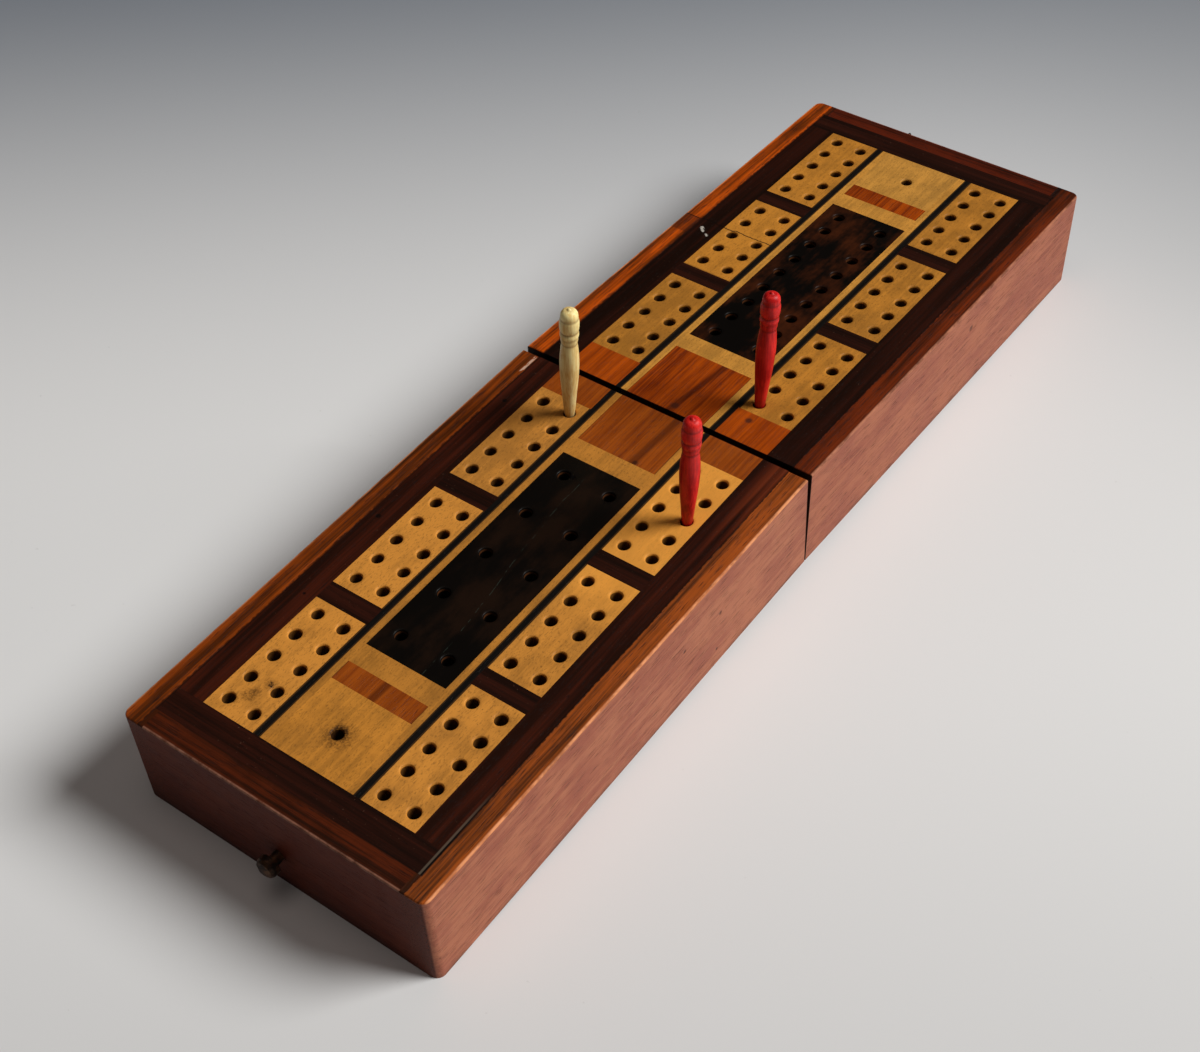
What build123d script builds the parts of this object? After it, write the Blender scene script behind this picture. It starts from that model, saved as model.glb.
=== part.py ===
"""Folding pegging box: two hollow wooden halves hinged end to end.

Open, the halves stand on their rims with the playing faces up. The hinge barrels hold the
join a little off the table, so each half slopes down to its outer end. Folded, the rims meet
and the hollow between them takes a pack of cards.

Frame: X across the box, near half along -Y, far half along +Y, Z up. The origin is on the
table under the middle of the join. Lengths are millimetres, angles are degrees.
"""

import math
import os

from build123d import *

os.makedirs("parts", exist_ok=True)

# One half of the box, measured from the hinge axis out and from the rim up.
half_length = 127.0
half_width = 76.2
half_depth = 25.4
join_gap = 0.15
corner_radius = 2.0
worn_edge = 0.4

# Rails and the board that they carry.
rim_width = 4.8
board_ledge = 1.0
hinge_rail_thickness = 9.6
inlay_thickness = 5.0
board_thickness = 2.4

# Inlay widths, from the outside of the face to its middle.
border_width = 6.5
track_width = 13.5
stringing_width = 1.2
strip_width = 1.9

# Inlay lengths. The two halves were laid out by hand, so some differ.
border_end_width = 6.3
bar_width = 5.0
cross_strip_width = 5.2
band_width = 5.1
near_end_block_length = 18.6
far_end_block_length = 17.2
near_square_length = 7.9
far_square_length = 9.8
near_block_length = 16.8
far_block_length = 19.7

# Peg holes. The many track and panel holes are drawn with few sides, the end holes are round.
hole_radius = 1.35
hole_sides = 10
track_rows = 5
track_end_inset = 3.5
track_side_inset = 3.2
near_panel_rows = 5
near_panel_end_inset = 5.7
far_panel_rows = 9
far_panel_end_inset = 4.35
panel_side_inset = 4.3
end_hole_inset = 8.9

# Hinges.
hinge_inset = 18.0
hinge_length = 20.0
leaf_width = 9.0
leaf_thickness = 1.0
barrel_radius = 2.9
barrel_clearance = 0.3
fold_gap = 0.2
knuckles = 5
knuckle_gap = 0.15
pin_radius = 1.25
pin_clearance = 0.05
pin_head_radius = 1.9
pin_head_length = 0.7
pin_end_float = 0.1

# Hinge screws.
screw_spacing = 12.0
screw_row = 6.3
screw_head_radius = 1.8
screw_shank_radius = 0.9
screw_length = 8.0
screw_hole_clearance = 0.05
screw_sides = 12

# Hook on the far end, and the stud that it catches on the near end.
stud_height = 9.5
stud_neck_radius = 1.3
stud_neck_length = 2.3
stud_head_radius = 2.4
stud_proud = 4.8
stud_dome_rise = 1.2
hook_height = 6.4
hook_lean = 41.0
hook_thickness = 1.4
hook_float = 0.2
hook_eye_radius = 3.3
hook_arm_width = 3.4
hook_head_radius = 3.4
hook_notch_clearance = 0.35
hook_tab_thickness = 1.2
hook_tab_width = 2.6
hook_tab_clearance = 0.5
hook_tab_proud = 4.5
pivot_radius = 1.5
pivot_clearance = 0.05
pivot_head_radius = 2.8
pivot_head_height = 1.5
pivot_slot_width = 0.5
pivot_slot_depth = 0.8
fitting_shank_depth = 4.8

# Turned work is drawn with few sides, and a domed head in steps: shares of its radius and rise.
turned_sides = 16
barrel_sides = 24
dome_steps = ((1.0, 0.0), (0.82, 0.6), (0.4, 1.0))

# Turned pegs: lengths along the peg, from the playing face up, one after the other.
peg_tip_radius = 0.9
peg_tip_float = 0.05
peg_mouth_radius = 1.2
peg_foot_length = 3.5
peg_foot_radius = 1.53
peg_calf_length = 5.0
peg_calf_radius = 1.93
peg_body_length = 6.0
peg_body_radius = 2.22
peg_shoulder_length = 4.0
peg_shoulder_radius = 2.1
peg_waist_length = 3.5
peg_waist_radius = 1.78
peg_bead_length = 1.65
peg_bead_radius = 2.06
peg_groove_radius = 1.85
peg_ball_length = 1.9
peg_ball_radius = 2.2
peg_head_length = 1.1
peg_head_radius = 1.9
peg_crown_length = 0.6
peg_crown_radius = 1.3
peg_nib_length = 0.5
peg_nib_radius = 0.35

# How the pegs lean in their holes, to the right and away from the join.
ivory_peg_lean_right = 4.5
ivory_peg_lean_out = 0.8
near_red_peg_lean_right = 4.3
near_red_peg_lean_out = 1.5
far_red_peg_lean_right = 2.5
far_red_peg_lean_out = 0.5

# Sizes that follow from the ones above.
face = half_depth
inlay_bottom = face - inlay_thickness
board_bottom = inlay_bottom - board_thickness
rail_thickness = rim_width + board_ledge
half_x = half_width / 2
field_x = half_x - rim_width
hollow_x = half_x - rail_thickness
track_outer_x = field_x - border_width
track_inner_x = track_outer_x - track_width
strip_outer_x = track_inner_x - stringing_width
middle_x = strip_outer_x - strip_width
field_y = half_length - rim_width
border_y = field_y - border_end_width
hinge_x = half_x - hinge_inset
cove_radius = barrel_radius + barrel_clearance
pitch = math.degrees(
    math.asin(barrel_radius / math.hypot(half_length, fold_gap)) + math.atan(fold_gap / half_length)
)
notch_reach = stud_height + hook_height + 2 * fold_gap
notch_radius = stud_neck_radius + hook_notch_clearance


class Half:
    """One half of the box, with the plane of its rim and the sizes that are its own."""

    def __init__(
        self,
        name,
        outward,
        square_length,
        block_length,
        end_block_length,
        panel_rows,
        panel_end_inset,
    ):
        slope = math.radians(pitch)
        up = Vector(0, outward * math.sin(slope), math.cos(slope))
        axis = Vector(0, 0, barrel_radius)
        self.name = name
        self.outward = outward
        self.square_length = square_length
        self.block_length = block_length
        self.end_block_length = end_block_length
        self.panel_rows = panel_rows
        self.panel_end_inset = panel_end_inset
        self.rim = Plane(axis + up * fold_gap, x_dir=(outward, 0, 0), z_dir=up)

    def level(self, height):
        """The plane at a height above the rim: x across, y from the hinge axis out."""
        return self.rim.offset(height)

    def point(self, x, y, z):
        """The row-frame place of a point given across, out and up from the rim."""
        return self.rim.from_local_coords(Vector(self.outward * x, y, z))

    def section(self, x):
        """The plane across the box at x, with its origin on the hinge axis: x out, y up."""
        return Plane(
            self.rim.from_local_coords(Vector(x, 0, -fold_gap)),
            x_dir=self.rim.y_dir,
            z_dir=self.rim.x_dir,
        )

    def end_wall(self, height):
        """The plane on the outer end wall, with its origin on the middle line at a height."""
        return Plane(
            self.rim.from_local_coords(Vector(0, half_length, height)),
            x_dir=self.rim.z_dir,
            z_dir=self.rim.y_dir,
        )


def save(piece, label):
    """Name a finished piece and write it."""
    piece.part.label = label
    export_step(piece.part, f"parts/{label}.step")


def rectangle(x, y, mode=Mode.ADD):
    """Add to the open sketch a rectangle that spans the x pair and the y pair."""
    with Locations(((x[0] + x[1]) / 2, (y[0] + y[1]) / 2)):
        Rectangle(x[1] - x[0], y[1] - y[0], mode=mode)


def both_sides(inner, outer):
    """The x pairs of a strip on the left and of its twin on the right."""
    return [(-outer, -inner), (inner, outer)]


def turned(plane, outline):
    """Add a turned form on a plane's axis, from its outline as pairs of radius and height."""
    sections = []
    for radius, height in outline:
        with BuildSketch(plane.offset(height)) as section:
            RegularPolygon(radius, turned_sides)
        sections.append(section.sketch)
    loft(sections, ruled=True)


def domed(radius, start, top):
    """The outline of a domed head, from its full radius at the start to its top."""
    return [(radius * across, start + (top - start) * rise) for across, rise in dome_steps]


def hole_grid(x_pair, y_pair, side_inset, end_inset, rows):
    """Hole centres in two columns and even rows over a panel, at insets from its edges."""
    columns = (x_pair[0] + side_inset, x_pair[1] - side_inset)
    row_pitch = (y_pair[1] - y_pair[0] - 2 * end_inset) / (rows - 1)
    return [(x, y_pair[0] + end_inset + row * row_pitch) for x in columns for row in range(rows)]


def make_inlay(half, label, rectangles, holes=()):
    """Separate flat pieces let into the face, as x and y pairs, drilled through."""
    with BuildPart() as inlay:
        with BuildSketch(half.level(inlay_bottom)):
            for x, y in rectangles:
                rectangle(x, y)
            if holes:
                with Locations(*holes):
                    RegularPolygon(hole_radius, hole_sides, mode=Mode.SUBTRACT)
        extrude(amount=inlay_thickness)
    save(inlay, f"{half.name}_{label}")


def make_end_block(half, start):
    """The pale block at the outer end of the middle strip, with its one round hole."""
    with BuildPart() as block:
        with BuildSketch(half.level(inlay_bottom)):
            rectangle((-middle_x, middle_x), (start, border_y))
        extrude(amount=inlay_thickness)
        mouth = half.level(face).from_local_coords(Vector(0, border_y - end_hole_inset, 0))
        with Locations(half.level(face).shift_origin(mouth)):
            Hole(hole_radius)
    save(block, f"{half.name}_end_block")


def outer_top_edges(half, rail):
    """The edges of a rail's top that are not against the inlay or another rail."""
    top = rail.faces().sort_by(Axis(half.rim.origin, half.rim.z_dir))[-1]
    places = [(edge, half.rim.to_local_coords(edge.center())) for edge in top.edges()]
    return [
        edge
        for edge, place in places
        if abs(place.X) > field_x + worn_edge or place.Y > half_length - worn_edge
    ]


def make_side_rail(half, side, label):
    """A full-length side rail with a rebate for the board and a rounded outer corner."""
    local_side = side * half.outward
    outer = local_side * half_x
    with BuildPart() as rail:
        with BuildSketch(half.level(0)) as outline:
            rectangle(sorted((local_side * hollow_x, outer)), (join_gap, half_length))
            corner = outline.vertices().sort_by_distance((outer, half_length, 0))[0]
            fillet(corner, corner_radius)
        extrude(amount=face)
        with BuildSketch(half.level(board_bottom)):
            rectangle(sorted((local_side * hollow_x, local_side * field_x)), (join_gap, field_y))
        extrude(amount=face - board_bottom, mode=Mode.SUBTRACT)
        fillet(outer_top_edges(half, rail), worn_edge)
    save(rail, f"{half.name}_{label}")


def make_end_rail(half, fitting_height, fitting_radius):
    """The outer end rail between the side rails, bored for its brass fitting."""
    with BuildPart() as rail:
        with BuildSketch(half.level(0)):
            rectangle((-hollow_x, hollow_x), (half_length - rail_thickness, half_length))
        extrude(amount=face)
        with BuildSketch(half.level(board_bottom)):
            rectangle((-hollow_x, hollow_x), (half_length - rail_thickness, field_y))
        extrude(amount=face - board_bottom, mode=Mode.SUBTRACT)
        fillet(outer_top_edges(half, rail), worn_edge)
        with Locations(half.end_wall(fitting_height)):
            Hole(fitting_radius, depth=fitting_shank_depth)
    save(rail, f"{half.name}_end_rail")


def make_hinge_rail(half):
    """The rail under the join, with a recess for each leaf, a cove for its barrel and pilot holes."""
    cove_length = hinge_length + 2 * (pin_end_float + pin_head_length + barrel_clearance)
    with BuildPart() as rail:
        with BuildSketch(half.level(0)):
            rectangle((-hollow_x, hollow_x), (join_gap, hinge_rail_thickness))
        extrude(amount=board_bottom)
        for x in (-hinge_x, hinge_x):
            with BuildSketch(half.section(x)):
                Circle(cove_radius)
            extrude(amount=cove_length / 2, both=True, mode=Mode.SUBTRACT)
            with BuildSketch(half.section(x)):
                rectangle((0, leaf_width), (0, fold_gap + leaf_thickness))
            extrude(amount=hinge_length / 2, both=True, mode=Mode.SUBTRACT)
        for place in screw_places(half):
            with BuildSketch(place):
                RegularPolygon(screw_shank_radius + screw_hole_clearance, screw_sides)
            extrude(amount=-(screw_length + screw_hole_clearance), mode=Mode.SUBTRACT)
    save(rail, f"{half.name}_hinge_rail")


def screw_places(half):
    """Planes on the undersides of the leaves where the hinge screws go in, facing out."""
    down = -half.rim.z_dir
    centres = [x + dx for x in (-hinge_x, hinge_x) for dx in (-screw_spacing / 2, screw_spacing / 2)]
    places = [half.rim.from_local_coords(Vector(x, screw_row, 0)) for x in centres]
    return [Plane(place, x_dir=(1, 0, 0), z_dir=down) for place in places]


def make_hinge_leaves(half, first_knuckle):
    """The two brass leaves of a half, each with every second knuckle of its barrel."""
    pitch_along = hinge_length / knuckles
    plate = (fold_gap, fold_gap + leaf_thickness)
    with BuildPart() as leaves:
        for x in (-hinge_x, hinge_x):
            with BuildSketch(half.section(x)):
                rectangle((cove_radius, leaf_width), plate)
            extrude(amount=hinge_length / 2, both=True)
            for i in range(first_knuckle, knuckles, 2):
                along = x - hinge_length / 2 + (i + 0.5) * pitch_along
                with BuildSketch(half.section(along)):
                    RegularPolygon(barrel_radius, barrel_sides)
                    rectangle((0, leaf_width), plate)
                    bore = pin_radius + pin_clearance
                    RegularPolygon(bore, turned_sides, major_radius=False, mode=Mode.SUBTRACT)
                extrude(amount=(pitch_along - knuckle_gap) / 2, both=True)
        for place in screw_places(half):
            screw_outline(place, screw_hole_clearance, leaf_thickness, Mode.SUBTRACT)
    save(leaves, f"{half.name}_hinge_leaves")


def screw_outline(place, clearance, length, mode):
    """Add or cut a countersunk screw's form at its place, grown by a clearance."""
    with BuildSketch(place) as head:
        RegularPolygon(screw_head_radius + clearance, screw_sides)
    extrude(head.sketch, amount=-(screw_head_radius - screw_shank_radius), taper=45, mode=mode)
    with BuildSketch(place) as shank:
        RegularPolygon(screw_shank_radius + clearance, screw_sides)
    extrude(shank.sketch, amount=-length, mode=mode)


def make_hinge_screws(half):
    """Four countersunk screws, flush with the leaves."""
    with BuildPart() as screws:
        for place in screw_places(half):
            screw_outline(place, 0, screw_length, Mode.ADD)
    save(screws, f"{half.name}_hinge_screws")


def make_hinge_pins(half):
    """The two hinge pins, with a small head at each end."""
    pin_length = hinge_length + 2 * pin_end_float
    with BuildPart() as pins:
        for x in (-hinge_x, hinge_x):
            with BuildSketch(half.section(x)):
                Circle(pin_radius)
            extrude(amount=pin_length / 2, both=True)
            for end in (x - pin_length / 2 - pin_head_length, x + pin_length / 2):
                with BuildSketch(half.section(end)):
                    RegularPolygon(pin_head_radius, turned_sides)
                extrude(amount=pin_head_length)
    save(pins, "hinge_pins")


def make_stud(half):
    """A brass stud with a domed head, driven into the end wall."""
    wall = half.end_wall(stud_height)
    with BuildPart() as stud:
        with BuildSketch(wall.offset(-fitting_shank_depth)):
            RegularPolygon(stud_neck_radius, turned_sides)
        extrude(amount=fitting_shank_depth + stud_neck_length)
        rim = (stud_head_radius, stud_neck_length)
        turned(wall, [rim, *domed(stud_head_radius, stud_proud - stud_dome_rise, stud_proud)])
    save(stud, "catch_stud")


def hook_plane(half):
    """The plane of the hook's back, with its x axis along the arm at rest."""
    wall = half.end_wall(hook_height)
    lean = math.radians(hook_lean)
    arm = half.rim.z_dir * math.cos(lean) - half.rim.x_dir * math.sin(lean)
    return Plane(wall.origin + wall.z_dir * hook_float, x_dir=arm, z_dir=wall.z_dir)


def make_hook(half):
    """A flat brass hook: an eye, an arm, a notched head and a finger tab that stands out."""
    plane = hook_plane(half)
    tab_start = notch_reach + stud_head_radius + hook_tab_clearance
    tab_end = tab_start + hook_tab_thickness
    tab_sides = (-hook_tab_width / 2, hook_tab_width / 2)
    with BuildPart() as hook:
        with BuildSketch(plane):
            Circle(hook_eye_radius)
            rectangle((0, notch_reach), (-hook_arm_width / 2, hook_arm_width / 2))
            with Locations((notch_reach, 0)):
                Circle(hook_head_radius)
            rectangle((notch_reach, tab_end), tab_sides)
            Circle(pivot_radius + pivot_clearance, mode=Mode.SUBTRACT)
            with Locations((notch_reach, 0)):
                Circle(notch_radius, mode=Mode.SUBTRACT)
            rectangle(
                (notch_reach - notch_radius, notch_reach + notch_radius),
                (-hook_head_radius, 0),
                mode=Mode.SUBTRACT,
            )
        extrude(amount=hook_thickness)
        with BuildSketch(plane):
            rectangle((tab_start, tab_end), tab_sides)
        extrude(amount=hook_tab_proud - hook_float)
    save(hook, "hook")


def make_hook_screw(half):
    """The slotted dome-headed screw that the hook swings on."""
    wall = half.end_wall(hook_height)
    head_seat = hook_float + hook_thickness + hook_float
    head_top = head_seat + pivot_head_height
    with BuildPart() as screw:
        with BuildSketch(wall.offset(-fitting_shank_depth)):
            Circle(pivot_radius)
        extrude(amount=fitting_shank_depth + head_seat)
        turned(wall, domed(pivot_head_radius, head_seat, head_top))
        with BuildSketch(wall.offset(head_top)):
            Rectangle(2 * pivot_head_radius, pivot_slot_width)
        extrude(amount=-pivot_slot_depth, mode=Mode.SUBTRACT)
    save(screw, "hook_screw")


def peg_outline():
    """The peg's turned outline from its tip to its nib, as radius and height above the face."""
    outline = [(peg_tip_radius, peg_tip_float - inlay_thickness), (peg_mouth_radius, 0)]
    for length, radius in (
        (peg_foot_length, peg_foot_radius),
        (peg_calf_length, peg_calf_radius),
        (peg_body_length, peg_body_radius),
        (peg_shoulder_length, peg_shoulder_radius),
        (peg_waist_length, peg_waist_radius),
        (peg_bead_length, peg_bead_radius),
        (peg_bead_length, peg_groove_radius),
        (peg_ball_length, peg_ball_radius),
        (peg_ball_length, peg_groove_radius),
        (peg_head_length, peg_head_radius),
        (peg_crown_length, peg_crown_radius),
        (peg_nib_length, peg_nib_radius),
    ):
        outline.append((radius, outline[-1][1] + length))
    return outline


def make_peg(half, label, hole, lean_right, lean_out):
    """A turned peg standing in a hole of the face, leaning by its play there."""
    mouth = half.point(*hole, face)
    along = (
        half.rim.z_dir
        + Vector(math.tan(math.radians(lean_right)), 0, 0)
        + half.rim.y_dir * math.tan(math.radians(lean_out))
    )
    with BuildPart() as peg:
        turned(Plane(mouth, x_dir=half.rim.x_dir, z_dir=along), peg_outline())
    save(peg, label)


def track_panels(half):
    """The starts of the three track panels of a half along it, and their length."""
    length = (border_y - half.square_length - 2 * bar_width) / 3
    return [half.square_length + i * (length + bar_width) for i in range(3)], length


def make_half(half):
    """Every piece of the board and inlay of one half, with its side rails and hinge rail."""
    square, block = half.square_length, half.block_length
    starts, panel_length = track_panels(half)
    track_x = both_sides(track_inner_x, track_outer_x)
    middle = (-middle_x, middle_x)
    end_block_start = border_y - half.end_block_length
    band_start = end_block_start - band_width
    dark_end = band_start - cross_strip_width
    dark_start = block + cross_strip_width
    dark_panel = (dark_start, dark_end)
    panels = [(x, (y, y + panel_length)) for x in track_x for y in starts]
    track_holes = []
    for x, y in panels:
        track_holes += hole_grid(x, y, track_side_inset, track_end_inset, track_rows)
    full = (join_gap, border_y)

    make_side_rail(half, -1, "left_rail")
    make_side_rail(half, 1, "right_rail")
    make_hinge_rail(half)
    with BuildPart() as board:
        with BuildSketch(half.level(board_bottom)):
            rectangle((-field_x, field_x), (join_gap, field_y))
        extrude(amount=board_thickness)
    save(board, f"{half.name}_base_board")

    make_inlay(half, "border_sides", [(x, full) for x in both_sides(track_outer_x, field_x)])
    make_inlay(half, "border_end", [((-field_x, field_x), (border_y, field_y))])
    make_inlay(half, "border_bars", [(x, (y - bar_width, y)) for x in track_x for y in starts[1:]])
    make_inlay(half, "track_panels", panels, track_holes)
    make_inlay(half, "stringing", [(x, full) for x in both_sides(strip_outer_x, track_inner_x)])
    make_inlay(half, "long_strips", [(x, full) for x in both_sides(middle_x, strip_outer_x)])
    make_inlay(half, "cross_strips", [(middle, (block, dark_start)), (middle, (dark_end, band_start))])
    make_inlay(
        half,
        "ebony_panel",
        [(middle, dark_panel)],
        hole_grid(middle, dark_panel, panel_side_inset, half.panel_end_inset, half.panel_rows),
    )
    squares = [(x, (join_gap, square)) for x in track_x]
    make_inlay(
        half,
        "tulipwood",
        squares + [(middle, (join_gap, block)), (middle, (band_start, end_block_start))],
    )
    make_end_block(half, end_block_start)


def track_hole(half, side, column, row):
    """The place of a hole in the track panel beside the join: columns from the left, rows from it."""
    starts, length = track_panels(half)
    x_pair = both_sides(track_inner_x, track_outer_x)[side]
    y_pair = (starts[0], starts[0] + length)
    holes = hole_grid(x_pair, y_pair, track_side_inset, track_end_inset, track_rows)
    return holes[column * track_rows + row]


near = Half(
    name="near",
    outward=-1,
    square_length=near_square_length,
    block_length=near_block_length,
    end_block_length=near_end_block_length,
    panel_rows=near_panel_rows,
    panel_end_inset=near_panel_end_inset,
)
far = Half(
    name="far",
    outward=1,
    square_length=far_square_length,
    block_length=far_block_length,
    end_block_length=far_end_block_length,
    panel_rows=far_panel_rows,
    panel_end_inset=far_panel_end_inset,
)

for half in (near, far):
    make_half(half)
    make_hinge_screws(half)
make_end_rail(near, stud_height, stud_neck_radius)
make_end_rail(far, hook_height, pivot_radius)
make_hinge_leaves(near, 0)
make_hinge_leaves(far, 1)
make_hinge_pins(near)
make_stud(near)
make_hook_screw(far)
make_hook(far)
make_peg(near, "ivory_peg", track_hole(near, 0, 1, 0), ivory_peg_lean_right, ivory_peg_lean_out)
make_peg(near, "near_red_peg", track_hole(near, 1, 1, 2), near_red_peg_lean_right, near_red_peg_lean_out)
make_peg(far, "far_red_peg", track_hole(far, 1, 0, 0), far_red_peg_lean_right, far_red_peg_lean_out)
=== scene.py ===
"""Folding pegging box, dressed: worn polished woods, oxidised brass and turned bone pegs.

Each half is measured as its maker would lay it out: across from the middle line, out from
the hinge axis and up from the rim, in millimetres. A finished piece is turned from there to
its place in the open box, in metres.
"""

import math
import random

import bmesh
import bpy
from mathutils import Matrix, Vector


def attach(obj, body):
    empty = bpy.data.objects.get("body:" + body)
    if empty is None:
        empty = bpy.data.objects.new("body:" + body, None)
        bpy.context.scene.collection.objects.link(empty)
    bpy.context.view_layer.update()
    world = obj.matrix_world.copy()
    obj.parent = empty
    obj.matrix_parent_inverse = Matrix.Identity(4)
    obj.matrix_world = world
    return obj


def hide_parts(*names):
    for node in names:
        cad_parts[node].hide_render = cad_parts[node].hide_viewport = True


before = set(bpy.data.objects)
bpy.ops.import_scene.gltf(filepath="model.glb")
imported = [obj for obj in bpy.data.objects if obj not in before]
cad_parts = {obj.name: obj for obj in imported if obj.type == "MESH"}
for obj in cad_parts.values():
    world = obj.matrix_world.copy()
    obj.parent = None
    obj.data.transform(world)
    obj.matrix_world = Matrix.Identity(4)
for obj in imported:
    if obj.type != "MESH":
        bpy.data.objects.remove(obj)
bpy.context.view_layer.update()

MM = 0.001

# The two halves, as they are sawn and laid out.
AXIS_HEIGHT = 2.9
FOLD_GAP = 0.2
HALF_LENGTH = 127.0
HALF_X = 38.1
FIELD_X = 33.3
TRACK_OUTER = 26.8
TRACK_INNER = 13.3
MIDDLE_X = 10.2
BORDER_Y = 115.9
BORDER_END = 122.4
BAR = 5.0
PANEL_PITCH = 37.4
CROSS_STRIP = 5.2
BAND = 5.1
FACE = 25.4
INLAY = 5.0
SLOPE = math.asin(AXIS_HEIGHT / math.hypot(HALF_LENGTH, FOLD_GAP)) + math.atan(FOLD_GAP / HALF_LENGTH)

# Holes.
HOLE_RADIUS = 1.35
HOLE_DEPTH = 4.8
HOLE_SIDES = 20
GRIME_REACH = 0.75
TRACK_ROWS = 5
TRACK_END_INSET = 3.5
TRACK_COLUMNS = (16.5, 23.6)
DARK_COLUMN = 5.9
END_HOLE_OUT = 107.0
END_HOLE_RADIUS = 1.3

# Screws in the hinge leaves.
SCREW_COLUMNS = (14.1, 26.1)
SCREW_OUT = 6.3
SCREW_HEAD_RADIUS = 1.8
SCREW_SLOT = 0.5
SCREW_SLOT_DEPTH = 0.4

# Colours, each named 0 to 255 in red, green and blue. A rail's are its face and its outer wall; the end
# rails' walls are darkened as painted shade.
RIM_TINTS = {
    ("near", "left"): ((112, 49, 8), (120, 62, 40)),
    ("near", "right"): ((126, 61, 20), (173, 108, 80)),
    ("near", "end"): ((62, 23, 6), (98, 42, 25)),
    ("far", "left"): ((150, 62, 6), (120, 62, 40)),
    ("far", "right"): ((84, 31, 7), (168, 102, 75)),
    ("far", "end"): ((66, 21, 6), (98, 42, 25)),
}
# End grain on the end faces, darker of itself and darker still as painted shade.
SHADED_END_GRAIN = (98, 42, 25)
ROSEWOOD_TINTS = {"near": (47, 17, 7), "far": (32, 11, 4)}
BAR_TINT = (35, 13, 6)
PANEL_TINTS = {"near": (194, 129, 52), "far": (178, 117, 41)}
END_BLOCK_TINTS = {"near": (190, 125, 46), "far": (188, 133, 57)}
STRIP_TINTS = {"near": (176, 116, 44), "far": (190, 132, 54)}

# Tulipwood: its tint, its darker lines, and half the width of the change between them.
TULIP_TINTS = {
    "near": ((164, 80, 14), (112, 45, 5), 0.2),
    "far": ((172, 72, 0), (94, 27, 0), 0.15),
}

# Marks of use. Dents in the right wall: (out, up) and radius. Stains of the maple, near half
# only: (across, out), radius, soft edge and strength.
SIDE_DENTS = {
    "near": (((33.5, 14.5), 0.55), ((46.5, 15), 0.5), ((35, 4.5), 0.4)),
    "far": (((72, 18.5), 0.85),),
}
PANEL_STAINS = (
    ((-20.6, 109.6), 0.9, 1.3, 0.6),
    ((-19.9, 108.0), 0.5, 0.8, 0.5),
    ((-18.7, 105.4), 0.35, 0.4, 1.0),
    ((-18.9, 105.3), 0.8, 1.2, 0.45),
    ((-22.2, 111.8), 0.3, 0.9, 0.4),
)
END_HOLE_STAINS = (
    ((0.2, END_HOLE_OUT - 0.2), 1.5, 0.9, 0.85),
    ((0.6, END_HOLE_OUT + 0.3), 1.6, 3.0, 0.6),
)


class Half:
    """One half of the box: its own sizes, and the turn from its measures to the open box."""

    def __init__(self, name, outward, square, block, end_block, dark_rows, dark_inset):
        self.name = name
        self.outward = outward
        self.square = square
        self.block = block
        self.end_block = end_block
        self.dark_rows = dark_rows
        self.dark_inset = dark_inset
        self.body = name + "_half"
        sin, cos = math.sin(SLOPE), math.cos(SLOPE)
        turn = Matrix((
            (1, 0, 0, 0),
            (0, outward * cos, outward * sin, outward * sin * FOLD_GAP),
            (0, -sin, cos, AXIS_HEIGHT + cos * FOLD_GAP),
            (0, 0, 0, 1),
        ))
        self.place = Matrix.Scale(MM, 4) @ turn

    def track_panels(self):
        """The start and end of each track panel, out from the join."""
        length = (BORDER_Y - self.square - 2 * BAR) / 3
        starts = [self.square + i * (length + BAR) for i in range(3)]
        return [(start, start + length) for start in starts]

    def dark_panel(self):
        """The start and end of the dark middle panel."""
        return self.block + CROSS_STRIP, BORDER_Y - self.end_block - BAND - CROSS_STRIP


near = Half("near", -1, 7.9, 16.8, 18.6, 5, 5.7)
far = Half("far", 1, 9.8, 19.7, 17.2, 9, 4.35)


# ---------------------------------------------------------------- finishes


def shade(red, green, blue):
    """A colour named 0 to 255 as a paint chart does, in the light values of a shader."""
    parts = [part / 255 for part in (red, green, blue)]
    return (*[p / 12.92 if p < 0.04045 else ((p + 0.055) / 1.055) ** 2.4 for p in parts], 1)


def tinted(tint, gain, lift=0):
    """A named colour made darker or lighter."""
    return shade(*[min(255, c * gain + lift) for c in tint])


class Value:
    """A number in a finish; arithmetic on it adds Math nodes."""

    def __init__(self, finish, socket):
        self.finish = finish
        self.socket = socket

    def __add__(self, other):
        return self.finish.maths("ADD", self, other)

    def __radd__(self, other):
        return self.finish.maths("ADD", other, self)

    def __sub__(self, other):
        return self.finish.maths("SUBTRACT", self, other)

    def __rsub__(self, other):
        return self.finish.maths("SUBTRACT", other, self)

    def __mul__(self, other):
        return self.finish.maths("MULTIPLY", self, other)

    def __rmul__(self, other):
        return self.finish.maths("MULTIPLY", other, self)

    def __pow__(self, other):
        return self.finish.maths("POWER", self, other)

    def __abs__(self):
        return self.finish.maths("ABSOLUTE", self)


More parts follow.
